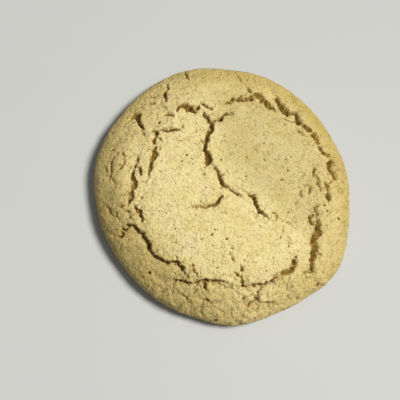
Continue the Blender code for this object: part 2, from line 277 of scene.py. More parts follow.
    Crack(1.2, ((-21.4, 14.4, 0.5), (-22.0, 12.5, 0.8), (-21.8, 11.0, 0.5))),
    Crack(1.6, (
        (-20.4, 15.6, 0.6), (-19.0, 15.4, 1.1), (-17.5, 15.3, 1.1), (-15.8, 15.4, 0.8),
        (-14.6, 15.7, 0.4))),
    Crack(1.3, ((-18.7, 20.2, 0.6), (-17.5, 20.2, 0.9), (-16.4, 20.1, 0.5))),
    Crack(0.6, ((-19.1, 13.2, 0.3), (-18.7, 11.0, 0.4))),
    Crack(0.6, ((-17.0, 12.0, 0.3), (-15.2, 12.0, 0.4), (-13.8, 12.5, 0.4), (-12.2, 13.0, 0.3))),
    # North-west notch and the splits that run down to the edge.
    Crack(1.8, (
        (-28.5, 20.3, 0.8), (-27.2, 20.8, 2.0), (-26.3, 20.4, 2.2), (-26.3, 19.0, 1.3), (-25.9, 18.0, 1.1),
        (-24.9, 16.4, 0.6)), 0.3),
    Crack(0.8, ((-25.3, 16.0, 0.4), (-24.8, 14.3, 0.6), (-24.1, 13.6, 0.4))),
    Crack(1.4, ((-16.9, 30.8, 0.5), (-17.5, 29.0, 0.9), (-18.3, 27.8, 1.2), (-18.2, 25.3, 0.7)), 0.1),
    Crack(0.8, ((-22.7, 27.8, 0.4), (-22.3, 27.2, 0.6), (-20.3, 26.1, 0.4))),
    Crack(0.9, ((-22.8, 24.6, 0.5), (-21.4, 24.7, 0.5))),
    Crack(0.8, ((-20.1, 24.1, 0.4), (-18.6, 23.2, 0.5), (-18.1, 22.1, 0.4))),
    Crack(0.8, ((-25.7, 24.0, 0.4), (-24.5, 22.8, 0.5))),
    # Shallow splits of the rim and the plates.
    Crack(1.0, ((-11.3, 35.9, 0.5), (-11.0, 33.8, 0.7), (-10.8, 32.0, 0.5)), 0.1),
    Crack(0.35, ((-16.0, 31.0, 0.4), (-14.0, 31.4, 0.5), (-12.0, 31.5, 0.3))),
    Crack(0.35, ((-10.0, 32.2, 0.3), (-7.0, 32.6, 0.5), (-4.0, 32.5, 0.3))),
    Crack(1.0, (
        (-32.0, 9.0, 0.4), (-33.0, 8.0, 0.5), (-33.7, 6.0, 0.5), (-33.9, 4.0, 0.5), (-34.5, 1.5, 0.4))),
    Crack(1.1, ((-30.6, 9.4, 0.45), (-30.3, 8.8, 0.6), (-29.9, 8.1, 0.6))),
    Crack(1.0, ((-30.3, 7.2, 0.4), (-29.9, 6.2, 0.4), (-30.5, 5.2, 0.5), (-31.3, 4.3, 0.5))),
    Crack(0.9, ((-33.4, 2.1, 0.5), (-33.3, 0.7, 0.5))),
    Crack(0.8, ((-35.9, 5.9, 0.4), (-35.3, 5.0, 0.5), (-34.7, 4.1, 0.4))),
    Crack(0.6, ((-36.6, -4.8, 0.4), (-35.5, -6.0, 0.8), (-34.7, -7.7, 0.6))),
    Crack(0.8, ((-33.2, -5.7, 0.3), (-31.6, -6.2, 0.7), (-30.9, -5.8, 0.4))),
    Crack(0.6, ((-31.4, -6.6, 0.4), (-29.9, -8.1, 0.4))),
    Crack(0.6, ((-33.3, -6.7, 0.4), (-33.0, -8.5, 0.6), (-32.3, -9.9, 0.4))),
    Crack(0.7, ((-9.7, 3.8, 0.4), (-8.5, 2.1, 0.5))),
    Crack(0.4, ((-17.8, 4.6, 0.3), (-17.0, 2.5, 0.3))),
    Crack(0.7, ((13.3, -10.8, 0.5), (14.3, -11.4, 0.5))),
    Crack(0.8, ((12.4, -11.9, 0.4), (12.3, -14.5, 0.4))),
    Crack(0.8, ((14.4, -15.9, 0.4), (13.9, -18.1, 0.5))),
    Crack(1.0, ((-3.2, -16.5, 0.4), (-2.2, -18.3, 0.5))),
    Crack(1.1, ((-2.9, -19.4, 0.45), (-2.6, -20.6, 0.5), (-1.8, -21.6, 0.5))),
    Crack(0.9, ((-5.4, -20.1, 0.4), (-5.2, -21.2, 0.4))),
    Crack(1.0, ((-13.6, -19.4, 0.4), (-13.8, -20.8, 0.5))),
    Crack(0.8, ((-18.0, -19.9, 0.4), (-17.4, -21.0, 0.6))),
    Crack(0.6, ((-25.6, -20.7, 0.4), (-24.1, -21.4, 0.5))),
    Crack(0.7, ((-26.4, -24.8, 0.5), (-25.2, -24.7, 0.5))),
    Crack(0.6, ((-22.2, -29.9, 0.4), (-20.4, -30.8, 0.4))),
    Crack(0.6, ((-18.6, -28.4, 0.4), (-16.4, -28.8, 0.4))),
    Crack(1.0, ((-10.1, -31.9, 0.5), (-9.0, -32.5, 0.7), (-8.1, -33.1, 0.5))),
    Crack(0.6, ((-6.1, -34.7, 0.4), (-4.4, -35.8, 0.5))),
    Crack(0.7, (
        (5.9, -28.8, 0.4), (5.0, -29.8, 0.6), (4.5, -30.4, 0.4), (5.0, -31.6, 0.4),
        (5.4, -32.5, 0.3)), 0.3),
    Crack(1.0, ((2.1, -34.1, 0.5), (3.0, -33.0, 0.7), (4.3, -32.1, 0.7), (5.4, -33.0, 0.6)), -0.4),
    Crack(1.5, ((6.0, -33.2, 0.6), (7.5, -33.4, 0.8), (9.4, -33.3, 0.5)), 0.5),
    Crack(0.6, ((1.9, -34.9, 0.4), (2.6, -35.9, 0.4))),
    Crack(0.7, ((20.8, -28.7, 0.4), (23.2, -28.9, 0.5))),
    Crack(0.7, ((22.9, -27.8, 0.5), (23.9, -29.4, 0.5))),
    Crack(0.4, ((11.3, 20.9, 0.3), (12.5, 19.0, 0.3), (13.5, 18.0, 0.3), (17.0, 14.4, 0.2))),
    Crack(0.4, ((5.4, 22.1, 0.4), (5.0, 20.4, 0.3))),
)

# Pits of the crust: the (x, y) of those of each width. They are PIT_DEPTH times as deep as wide.
PIT_CRUMBLE = Pattern(0.16, 0.8, 71)
PIT_WALL = 0.35
PIT_DEPTH = 1.2
PITS = {
    0.4: ((7.3, -24.8),),
    0.45: ((-25.9, -4.0), (-6.7, -23.7), (0.9, -21.2)),
    0.5: ((-13.2, 7.8), (-14.5, 6.0), (3.4, 7.1), (8.8, 6.7), (6.3, 5.2), (8.9, 11.4), (15.3, 6.8),
        (15.5, 3.5), (3.1, 1.7), (-10.5, -15.8), (-6.8, -13.4), (-26.9, 0.5), (-27.0, -25.7), (4.8, -26.4),
        (14.2, -8.0), (11.8, -15.3), (27.0, -5.3)),
    0.6: ((-3.7, -15.8), (-7.8, -14.8), (-34.0, -8.2), (-33.0, 10.3), (27.2, -7.8)),
    0.7: ((-3.8, 6.4), (13.7, 0.9), (1.0, -31.6)),
    0.8: ((-25.0, -24.5), (31.3, -9.8), (26.6, -6.3)),
    0.9: ((-6.8, -38.5), (-20.4, 18.0)),
}


def turned_profile():
    """(distance along the crust from the middle of the top, share of the waist radius, height).

    The top is a dome whose height falls as the square root of 1 - share ** DOME_POWER. Under
    the waist, a quarter of an ellipse turns in to the foot and ends flat on the table.
    """
    turn = np.linspace(0.0, math.pi / 2, 1500)
    top_radius = MEAN_RADIUS * np.sin(turn) ** (2 / DOME_POWER)
    top_height = WAIST_HEIGHT + (CENTRE_HEIGHT - WAIST_HEIGHT) * np.cos(turn)
    tuck = np.linspace(0.0, math.pi / 2, 400)[1:]
    radius = np.concatenate([top_radius, MEAN_RADIUS - FOOT_INSET * (1 - np.cos(tuck))])
    height = np.concatenate([top_height, WAIST_HEIGHT * (1 - np.sin(tuck))])
    steps = np.hypot(np.diff(radius), np.diff(height))
    return np.concatenate([[0.0], np.cumsum(steps)]), radius / MEAN_RADIUS, height


ALONG, SHARE, HEIGHT = turned_profile()
FOOT = ALONG[-1]


def smooth(share):
    """Eases a share from 0 to 1 with no slope at either end: 3 s^2 - 2 s^3."""
    share = np.clip(share, 0.0, 1.0)
    return share * share * (3 - 2 * share)


def rises(value, start, run):
    """0 up to the start, then eased up to 1 over the run."""
    return smooth((value - start) / run)


def facing(turn, bearing, gain, loss):
    """How far a turn faces the bearing in degrees: gain * cosine between them - loss, eased."""
    return smooth(gain * np.cos(turn - math.radians(bearing)) - loss)


def waist_radius(turn):
    """How far the waist reaches at that bearing, in radians: the even round and its bulges."""
    radius = np.full_like(turn, WAIST_RADIUS)
    for bulge in WAIST_BULGES:
        away = np.abs((np.degrees(turn) - bulge.bearing + 180) % 360 - 180)
        radius += bulge.rise * np.cos(math.pi / 2 * np.clip(away / bulge.spread, 0, 1)) ** 2
    return radius


def unevenness(x, y, size, seed):
    """Smooth random height from -1 to 1 with lumps of about that size: gradient noise."""
    cells = 64
    angle = np.random.default_rng(seed).uniform(0, 2 * math.pi, (cells, cells))
    column, row = np.floor(x / size), np.floor(y / size)
    across, up = x / size - column, y / size - row
    corners = []
    for i, j in ((0, 0), (1, 0), (0, 1), (1, 1)):
        slope = angle[(column.astype(int) + i) % cells, (row.astype(int) + j) % cells]
        corners.append(np.cos(slope) * (across - i) + np.sin(slope) * (up - j))
    near = corners[0] + smooth(across) * (corners[1] - corners[0])
    far = corners[2] + smooth(across) * (corners[3] - corners[2])
    return 1.5 * (near + smooth(up) * (far - near))


def rubble(x, y, size, seed, octaves=3):
    """Unevenness summed over halved sizes, each with 0.6 of the height of the one before."""
    total, share = np.zeros_like(x), 1.0
    for octave in range(octaves):
        total += share * unevenness(x, y, size / 2**octave, seed + octave)
        share *= 0.6
    return total


def shaken(x, y, shake):
    """The points, moved across and up by rubble."""
    across, up = (rubble(x, y, shake.size, seed) for seed in shake.seeds)
    return x + shake.height * across, y + shake.height * up


def flakes(x, y, size, seed):
    """(height from -1 to 1 of the flake, distance to its edge): cells round scattered centres.

    Each square of a grid has one centre somewhere in it. A point belongs to the nearest
    centre, and its distance to the edge is half of how much farther the second nearest is.
    """
    cells = 64
    centres = np.random.default_rng(seed).uniform(0, 1, (cells, cells, 3))
    column, row = np.floor(x / size).astype(int), np.floor(y / size).astype(int)
    gaps, heights = [], []
    for i in (-1, 0, 1):
        for j in (-1, 0, 1):
            across, up, height = np.moveaxis(centres[(column + i) % cells, (row + j) % cells], 1, 0)
            gaps.append(np.hypot(x / size - column - i - across, y / size - row - j - up))
            heights.append(2 * height - 1)
    gaps, heights = np.array(gaps), np.array(heights)
    order = np.argsort(gaps, axis=0)[:2]
    nearest, second = np.take_along_axis(gaps, order, 0)
    return np.take_along_axis(heights, order[:1], 0)[0], 0.5 * size * (second - nearest)


def hairline(rng, start, bearing, length, width, depth):
    """A short thin crack from the start along the bearing, bent a little at its middle."""
    along = np.array((math.cos(bearing), math.sin(bearing)))
    across = np.array((-along[1], along[0])) * rng.uniform(-0.2, 0.2) * length
    middle, end = start + 0.5 * length * along + across, start + length * along
    return Crack(depth, ((*start, width), (*middle, 0.8 * width), (*end, 0.4 * width)))


def hairlines():
    """Branches off the deep cracks at steep angles, and loose hairlines mostly round the rim."""
    rng = np.random.default_rng(77)
    found = []
    for crack in CRACKS:
        if crack.depth < BRANCHED_DEPTH:
            continue
        line = crack_line(crack, 10 * CRACKS.index(crack))
        step = round(BRANCH_SPACING / STEP_ALONG)
        for i in range(step // 2, len(line) - 1, step):
            if rng.uniform() > BRANCH_SHARE:
                continue
            tangent = math.atan2(*(line[i + 1, :2] - line[i, :2])[::-1])
            turn = rng.choice((-1, 1)) * rng.uniform(0.5, 1.7)
            found.append(hairline(
                rng, line[i, :2], tangent + turn, rng.uniform(1.2, 3.6),
                rng.uniform(0.4, 0.65), rng.uniform(0.8, 1.5)))
    for _ in range(RIM_HAIRLINES):
        reach, bearing = rng.uniform(23.0, 37.0), rng.uniform(0, 2 * math.pi)
        start = reach * np.array((math.cos(bearing), math.sin(bearing)))
        run = bearing + math.pi / 2 + rng.normal(0, 0.5)
        found.append(hairline(
            rng, start, run, rng.uniform(0.8, 3.2), rng.uniform(0.3, 0.5), rng.uniform(0.5, 0.9)))
    for _ in range(PLATE_HAIRLINES):
        reach, bearing = 26.0 * math.sqrt(rng.uniform()), rng.uniform(0, 2 * math.pi)
        start = reach * np.array((math.cos(bearing), math.sin(bearing)))
        found.append(hairline(
            rng, start, rng.uniform(0, 2 * math.pi), rng.uniform(0.8, 2.6),
            rng.uniform(0.3, 0.42), rng.uniform(0.4, 0.8)))
    return found


def crack_line(crack, seed):
    """The crack's line as closely spaced (x, y, width): smooth through its route, then wandering."""
    route = np.array(crack.route)
    length = np.hypot(*np.diff(route[:, :2], axis=0).T).sum()
    place = np.linspace(0, len(route) - 1, max(4, round(length / STEP_ALONG)) + 1)
    leg = np.minimum(place.astype(int), len(route) - 2)
    part = (place - leg)[:, None]
    slope = np.gradient(route, axis=0)
    ease = part * part * (3 - 2 * part)
    line = route[leg] + ease * (route[leg + 1] - route[leg])
    line += part * (1 - part) * ((1 - part) * slope[leg] - part * slope[leg + 1])
    for axis in (0, 1):
        line[:, axis] += WANDER * unevenness(line[:, 0], line[:, 1], WANDER_SIZE, seed + axis)
    return line


def beside(x, y, line):
    """(distance to the line, its width there, +1 left of it and -1 right of it)."""
    start, step = line[:-1, :2], np.diff(line[:, :2], axis=0)
    from_start = np.stack([x, y], 1)[:, None, :] - start
    part = np.clip((from_start * step).sum(2) / (step**2).sum(1), 0, 1)
    offset = from_start - part[..., None] * step
    distance = np.hypot(offset[..., 0], offset[..., 1])
    nearest = distance.argmin(1)
    row = np.arange(len(x))
    width = line[nearest, 2] + part[row, nearest] * np.diff(line[:, 2])[nearest]
    side = step[nearest, 0] * offset[row, nearest, 1] - step[nearest, 1] * offset[row, nearest, 0]
    return distance[row, nearest], width, np.sign(side)


def crack_relief(x, y):
    """(depth, lift of the lips, nearness to a crack, how broken the crust is) for all cracks.

    Depth is the crack's own depth times an eased wall, deepest on the line, less the crumb that
    fills it. Its edge is ragged, since rubble is added to the distance first.
    Lift falls off exponentially from the line, up on one side and down on the other, and the
    crust on the lower side rolls down to the edge. Nearness and broken are shares.
    """
    depth, lift, nearness, inside = (np.zeros_like(x) for _ in range(4))
    ragged = CRUMBLE.height * rubble(x, y, CRUMBLE.size, CRUMBLE.seed)
    x, y = shaken(x, y, CRACK_SHAKE)
    fill = FILL.height * smooth(0.35 + 1.4 * rubble(x, y, FILL.size, FILL.seed, 2))
    pinch = PINCHED_MIDDLE + PINCH.height * unevenness(x, y, PINCH.size, PINCH.seed)
    patchy = PATCHES.height * unevenness(x, y, PATCHES.size, PATCHES.seed)
    for number, crack in enumerate(CRACKS + tuple(hairlines())):
        line = crack_line(crack, 10 * number)
        reach = LIP_ENDS if crack.lift else EDGE_ENDS
        low, high = line[:, :2].min(0) - reach, line[:, :2].max(0) + reach
        near = np.flatnonzero((x > low[0]) & (x < high[0]) & (y > low[1]) & (y < high[1]))
        distance, width, side = beside(x[near], y[near], line)
        gap = distance + ragged[near] * np.clip(width, 0.4, 1) - width * pinch[near] / 2
        beyond = np.exp(-np.maximum(gap, 0) / EDGE_REACH)
        opening = smooth(0.5 - gap / (WALL + WALL_PER_WIDTH * width))
        # A narrow crack opens in patches, and hairlines in fewer of them.
        steady = MOSTLY_OPEN if number < len(CRACKS) else HALF_OPEN
        patches = smooth(steady + patchy[near] + 2 * (width - 0.35))
        open_width = np.clip(width / NARROW, 0.35, 1) * patches
        # Crust bridges what fills a narrow crack, and loose crumb fills a wide one.
        hollow = 1 - 0.35 * np.clip(distance / (0.5 * width), 0, 1) ** 2
        filled = fill[near] * np.clip(width / 1.3, 0.15, 1) * np.clip(1.7 - 0.55 * crack.depth, 0.2, 1)
        bridged = filled * (1 - 0.75 * rises(width, WIDE, 0.7))
        depth[near] = np.maximum(depth[near], crack.depth * open_width * (hollow - filled) * opening)
        # The rolled edge of the lower side keeps its crust, so it is broken only farther in.
        low_side = side * crack.lift < 0
        crust_kept = 0.2 + low_side * min(0.8, 0.2 + 0.6 * abs(crack.lift))
        broken = rises(open_width * (hollow - bridged) * opening, crust_kept, 0.5)
        inside[near] = np.maximum(inside[near], broken * min(1.0, 0.35 + 0.5 * crack.depth))
        nearness[near] = np.maximum(nearness[near], beyond * min(1, crack.depth / 1.5))
        falls_off = smooth((LIP_ENDS - distance) / LIP_FADE) * np.exp(-distance / LIP_REACH)
        lift[near] += 0.5 * side * crack.lift * falls_off
        lift[near] -= ROLLED_EDGE * abs(crack.lift) * low_side * smooth(width / 0.8) * beyond
    return depth, lift, nearness, inside


def pit_relief(x, y):
    """(depth, how far inside) of the pits: an eased wall round a shaken circle with a ragged edge."""
    depth, inside = np.zeros_like(x), np.zeros_like(x)
    ragged = PIT_CRUMBLE.height * rubble(x, y, PIT_CRUMBLE.size, PIT_CRUMBLE.seed)
    x, y = shaken(x, y, PIT_SHAKE)
    for width, places in PITS.items():
        for across, up in places:
            gap = np.hypot(x - across, y - up) + ragged - 0.4 * width
            opening = smooth(0.5 - gap / PIT_WALL)
            depth = np.maximum(depth, PIT_DEPTH * width * opening)
            inside = np.maximum(inside, opening)
    return depth, inside


def crust_relief(x, y):
    """(height of the relief in mm, how far inside a crack, pit or gap, nearness to a crack).

    The relief is the sum of unevenness, the west roll, creases, flakes and the lift of the cracks,
    cut off at the crest, less the cracks and pits. It fades at the foot.
    """
    along, turn = np.hypot(x, y), np.arctan2(y, x)
    rim = rises(along, RIM_STARTS, 6)
    west = rises(-x, 22, 8) * rises(y, -12, 10) * rises(-y, -26, 10)
    south = rises(-y, 24, 5)
    shoulder = 1 - rises(along, 37, 4)
    depth, lift, nearness, inside = crack_relief(x, y)
    pit, in_pit = pit_relief(x, y)
    relief = SWELL.height * unevenness(x, y, SWELL.size, SWELL.seed)
    level = (1 - 0.7 * rises(along, 35, 5)) * (1 - 0.5 * rises(y, 22, 8))
    relief += LUMPS.height * (0.5 + 0.5 * rim) * level * unevenness(x, y, LUMPS.size, LUMPS.seed)
    relief += KNOBS.height * (0.4 + rim) * rubble(x, y, KNOBS.size, KNOBS.seed)
    relief += ROLL_HEIGHT * west * np.exp(-(((along - ROLL_MIDDLE) / ROLL_WIDTH) ** 2))
    relief -= WRINKLES.depth * west * crevices(along, RIM_RADIUS * turn, WRINKLES)
    torn = (CREVICES.depth * south + RIM_CREVICES * rim) * (0.4 + 0.6 * shoulder)
    relief -= torn * crevices(along, RIM_RADIUS * turn, CREVICES)
    # Flakes of crust that stand at different heights, with gaps at some of their edges.
    broad = np.clip(1.3 * south * shoulder + 0.5 * nearness, 0, 1)
    loose = np.clip(nearness + 0.8 * south * shoulder + 0.12 * rim * rises(-y, -30, 8), 0, 1)
    bent_x, bent_y = shaken(x, y, FLAKE_SHAKE)
    gaps = np.zeros_like(x)
    for layer, flaked in ((BROAD_FLAKES, broad), (FLAKES, loose), (CHIPS, loose)):
        height, edge = flakes(bent_x, bent_y, layer.size, layer.seed)
        relief += layer.step * flaked * height * smooth(edge / FLAKE_EDGE)
        gap = flaked * smooth(1 - edge / FLAKE_GAP) * smooth(1.6 * unevenness(x, y, 2.0, layer.seed + 2))
        relief -= (0.15 + 1.2 * layer.step) * gap
        gaps = np.maximum(gaps, gap)
    # Crumbs beside the cracks, and grain everywhere, coarsest on the south-west rim.
    relief += CRUMBS.height * nearness * rubble(x, y, CRUMBS.size, CRUMBS.seed)
    coarse = GRAIN.height + RIM_GRAIN * rim * (1 + facing(turn, 225, 1.5, 0.4))
    relief += coarse * rubble(x, y, GRAIN.size, GRAIN.seed, 2)
    rough_floor = CRACK_FLOOR.height * rubble(x, y, CRACK_FLOOR.size, CRACK_FLOOR.seed)
    above_foot = rises(-along, -FOOT, 5)
    relief = np.minimum(relief + lift, CREST + rim)
    relief = (relief + smooth(depth / 1.3) * rough_floor - depth - pit) * above_foot
    # Pits count past 1, so that the material paints them darkest: painted shade in the holes.
    return relief, np.maximum.reduce([inside, 1.4 * in_pit, 0.38 * gaps * above_foot]), nearness


def crevices(along, across, creases):
    """Sharp creases from 0 to 1, about narrow apart and long in length.

    They are the lines where stretched gradient noise is zero, bent by more noise and broken
    up by a coarser noise.
    """
    bend = 0.35 * creases.narrow
    u = along / creases.narrow + bend * unevenness(along, across, 1.4, creases.seed)
    v = across / creases.long + 0.2 * unevenness(along, across, 1.7, creases.seed + 1)
    crease = smooth(1 - np.abs(unevenness(u, v, 1.0, creases.seed + 2)) / 0.12)
    return crease * smooth(0.25 + 1.6 * unevenness(along, across, 2.6, creases.seed + 3))


def risen_points(x, y, relief):
    """Where each point of the flat sheet ends up on the risen cookie, relief along its normal."""
    along, turn = np.hypot(x, y), np.arctan2(y, x)
    radius = np.interp(along, ALONG, SHARE) * waist_radius(turn)
    height = np.interp(along, ALONG, HEIGHT)
    lean = np.arctan2(
        np.interp(along, ALONG, np.gradient(SHARE * MEAN_RADIUS)),
        -np.interp(along, ALONG, np.gradient(HEIGHT)),
    )
    radius = radius + relief * np.cos(lean)
    height = np.maximum(height + relief * np.sin(lean), 0)
    return np.stack([radius * np.cos(turn), radius * np.sin(turn), height], 1)


def round_sheet(cells):
    """(x, y, faces, rim) of a square grid drawn out to a round sheet that ends at the foot.

    A grid point (u, v) goes to the ring max(|u|, |v|), and its place along the side of the
    square becomes its angle. Rings lie evenly on the top and wider apart towards the foot, by
    the ring's eighth power.
    """
    axis = np.linspace(-1, 1, cells + 1)
    v, u = (a.ravel() for a in np.meshgrid(axis, axis, indexing="ij"))
    ring = np.maximum(np.abs(u), np.abs(v))
    safe_u, safe_v = np.where(u == 0, 1, u), np.where(v == 0, 1, v)
    flat = np.abs(u) >= np.abs(v)
    turn = np.where(flat, math.pi / 4 * v / safe_u, math.pi / 4 * (2 - u / safe_v))
    turn = turn + math.pi * (np.where(flat, u, v) < 0)
    side = cells + 1
    corner = (np.arange(cells)[:, None] * side + np.arange(cells)).ravel()
    faces = np.stack([corner, corner + 1, corner + side + 1, corner + side], 1)
    step = np.arange(cells)
    rim = np.concatenate([step, cells + step * side, side * side - 1 - step, (cells - step) * side])
    reach = FOOT * ((1 - RINGS_SPREAD) * ring + RINGS_SPREAD * ring**8)
    return reach * np.cos(turn), reach * np.sin(turn), faces, rim


# What the material reads, with the value that each has on the underside.
UNDERSIDE_FIELDS = {
    "split": 0.0, "crackled": 0.2, "stain": 0.0, "rim": 1.0, "painted_shade_northeast": 0.3, "foot": 1.0, "dust_and_shade": 0.0,
}


def crust_fields(x, y, inside, nearness):
    """The shares that the material reads at each point of the crust.

    Each is a product or sum of eased steps in the distance from the middle, the bearing or x and
    y. split is broken crumb, whose darkening in deep cracks and pits is painted shade, crackled
    where thin splits are common, stain beside a crack, rim how baked the rim is, with painted shade
    stronger on its east and west flanks, then painted shade on the north-east rim, foot the
    browned edge, and last the dull half right of the long split, with more cinnamon, plus painted
    shade on the south-west flank.
    """
    along, turn = np.hypot(x, y), np.arctan2(y, x)
    southwest = rises(along, 26, 6) * facing(turn, 225, 2.0, 1.0)
    south = rises(-y, 22, 6) * rises(-along, -FOOT, 5)
    east = rises(x, 10, 8) * rises(y, -15, 8) * rises(-y, -10, 8)
    west = rises(-x, 24, 5) * rises(y, -18, 8) * rises(-y, -24, 8)
    crackled = 0.4 + 0.4 * nearness + 0.3 * south + 0.6 * east + 0.4 * west + 0.3 * southwest
    right_of_split = np.minimum(x + 7, 0.69 * (x + 7) + 0.72 * (y - 5))
    dull_half = (1 - rises(along, 24, 7)) * smooth(right_of_split / 8) * rises(y, -22, 12)
    return {
        "split": inside,
        "crackled": np.clip(crackled + 0.1 * rises(along, 26, 8), 0, 1),
        "stain": nearness**2,
        # Baked tone of the rim, with painted shade stronger towards the east and west flanks.
        "rim": rises(along, 22, 14) * (0.7 + 0.3 * (x / np.maximum(along, 1)) ** 2),
        # Painted shade on the north-east rim, tinted yellow.
        "painted_shade_northeast": rises(along, 27, 8) * facing(turn, 55, 1.3, 0.3),
        "foot": rises(along, 40.5, 3.5),
        # The dull half right of the split has more cinnamon on it; the south-west part is painted shade on
        # the flank facing away from the light.
        "dust_and_shade": dull_half + 0.9 * southwest,
    }


def underside_points(foot):
    """Rings that shrink evenly from the foot to the middle, and last the middle itself.

    They lift off the table by an eased step just inside the foot, with low waves.
    """
    shares = np.linspace(1, 0, UNDERSIDE_RINGS + 1)[1:-1]
    under = foot[None, :, :2] * shares[:, None, None]
    waves = unevenness(under[..., 0], under[..., 1], UNDERSIDE_WAVES.size, UNDERSIDE_WAVES.seed)
    lifted = UNDERSIDE_LIFT + UNDERSIDE_WAVES.height * waves
    rise = smooth((1 - shares) * 5)[:, None] * lifted
    rings = np.concatenate([under, rise[..., None]], 2).reshape(-1, 3)
    return np.concatenate([rings, [[0, 0, UNDERSIDE_LIFT]]])


def cookie_mesh():
    """The closed skin: the round sheet risen into the crust, and the underside's rings.

    Bands of faces join each ring to the next, and a fan joins the last one to the middle. The
    material's fields are stored at each point.
    """
    x, y, faces, rim = round_sheet(CRUST_CELLS)
    relief, inside, nearness = crust_relief(x, y)
    crust = risen_points(x, y, relief)
    under = underside_points(crust[rim])
    points = np.concatenate([crust, under])
    rings = np.concatenate([rim, len(crust) + np.arange(len(under) - 1)]).reshape(-1, len(rim))
    following = np.roll(rings, -1, axis=1)
    bands = np.stack([rings[:-1], rings[1:], following[1:], following[:-1]], 2).reshape(-1, 4)
    middle = np.full(len(rim), len(points) - 1)
    fan = np.stack([rings[-1], middle, following[-1]], 1)
    mesh = bpy.data.meshes.new("cookie_crust")
    mesh.from_pydata((points * MM).tolist(), [], faces.tolist() + bands.tolist() + fan.tolist())
    mesh.validate()
    mesh.shade_smooth()
    for name, values in crust_fields(x, y, inside, nearness).items():
        attribute = mesh.attributes.new(name, "FLOAT", "POINT")
        whole = np.concatenate([values, np.full(len(under), UNDERSIDE_FIELDS[name])])
        attribute.data.foreach_set("value", whole.astype(np.float32))
    return mesh


def linear(code):
    """sRGB hex code to a linear colour with alpha 1."""
    values = [int(code[i:i + 2], 16) / 255 for i in (1, 3, 5)]
    return tuple(v / 12.92 if v <= 0.04045 else ((v + 0.055) / 1.055) ** 2.4 for v in values) + (1.0,)


def add(tree, kind, settings, inputs):
    """Adds a node and its settings. A socket given as an input is linked, and a value is set."""
    node = tree.nodes.new(kind)
    for name, value in settings.items():
        setattr(node, name, value)
    for name, value in inputs.items():
        if isinstance(value, bpy.types.NodeSocket):
            tree.links.new(value, node.inputs[name])
        else:
            node.inputs[name].default_value = value
    return node


def per_mm(size):
    """Scale of a pattern on Object coordinates whose features measure that many millimetres."""
    return 1000.0 / size


def reached(tree, strength, *limits):
    """The strength, times an eased 0 to 1 for each (value, start, full) of the limits."""
    for value, start, full in limits:
        strength = add(tree, "ShaderNodeMapRange", {"interpolation_type": "SMOOTHSTEP"}, {
            "Value": value, "From Min": start, "From Max": full, "To Max": strength}).outputs[0]
    return strength


def coated(tree, under, over, strength, *limits, blend="MIX"):
    """The colour under, with the colour over laid on it as far as the limits are reached."""
    share = reached(tree, strength, *limits)
    settings = {"data_type": "RGBA", "blend_type": blend}
    return add(tree, "ShaderNodeMix", settings, {0: share, 6: under, 7: over}).outputs[2]


# Noise in the dough: the size of its features in millimetres, and its octaves of finer detail.
DOUGH_NOISE = {
    "drifts": (7.0, 3.0), "tan patches": (10.0, 3.0), "sugar": (0.8, 4.0), "dull flecks": (0.6, 3.0),
    "dark flecks": (0.42, 1.0), "craze gaps": (1.6, 2.0), "split gaps": (2.2, 2.0),
    "clusters": (4.5, 2.0), "stains": (0.9, 2.0), "crumb edge": (0.45, 2.0),
    "crumb lobes": (1.3, 2.0), "crumbs": (0.7, 2.0), "grain": (0.75, 2.0), "fine grain": (0.35, 1.5),
}
DOUGH_SURFACE = {"Roughness": 0.85, "Metallic": 0.0, "IOR": 1.5, "Specular IOR Level": 0.25}

# Crazing and thin splits: the size of their net and lines in millimetres, the size and share of
# the noise that bends them, and how much closer together the lines are in height.
CRAZE_SIZE = 2.8
BEND_SIZE = 1.2
BEND_SHARE = 0.0008
SPLIT_SIZE = 2.4
SPLIT_STEEPNESS = 2.2

# Pores and cinnamon specks: the spacing of their cells in millimetres, their radius as a share of
# it, how rare they are and how dark. A speck is full within SPECK_CORE of its radius.
Specks = namedtuple("Specks", "spacing radius rarity strength")
# Pores are dark dots of painted shade; cinnamon specks are the dough's own colour.
SHADED_PORES = Specks(0.8, 0.36, 0.62, 0.9)
CINNAMON = Specks(1.9, 0.18, 0.6, 0.75)
SPECK_CORE = 0.45
SPECK_EASE = 0.3

# Relief that is too fine for the mesh, in millimetres: the marks' depth and the grains' heights.
DENT_DEPTH = 0.12
GRAIN_HEIGHTS = {"grain": 0.30, "fine grain": 0.12}


